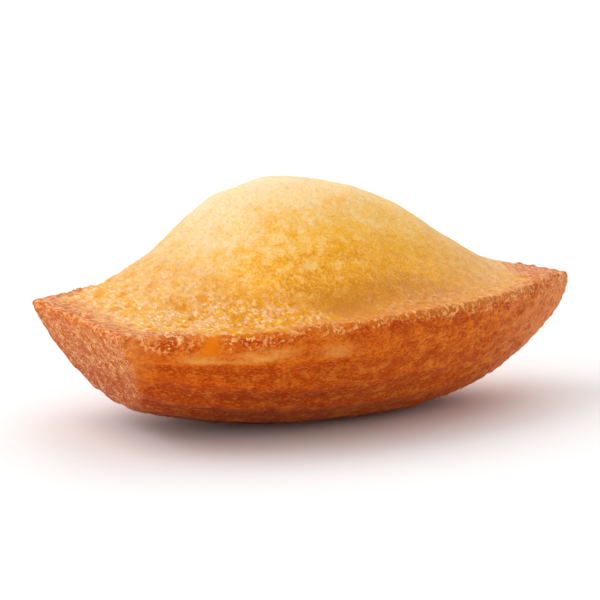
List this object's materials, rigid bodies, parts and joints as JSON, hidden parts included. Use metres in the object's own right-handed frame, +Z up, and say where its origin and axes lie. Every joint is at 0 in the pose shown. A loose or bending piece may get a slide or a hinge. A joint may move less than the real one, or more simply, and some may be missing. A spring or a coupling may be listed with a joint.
{
  "type": "madeleine cake",
  "caption": "Small shell-shaped sponge cake with a ribbed, browned underside, a flat heel at one end and a high golden dome on top.",
  "frame": {"origin": "on the ground, under the middle of the bounding box", "axes": "+X from the flat heel to the narrow tip, +Y across, +Z up out of the dome"},
  "size_m": [0.078, 0.047, 0.0333],
  "materials": {
    "sponge": "golden baked sponge crust, slightly moist"
  },
  "bodies": {
    "root": {"cake": "sponge"}
  },
  "joints": []
}
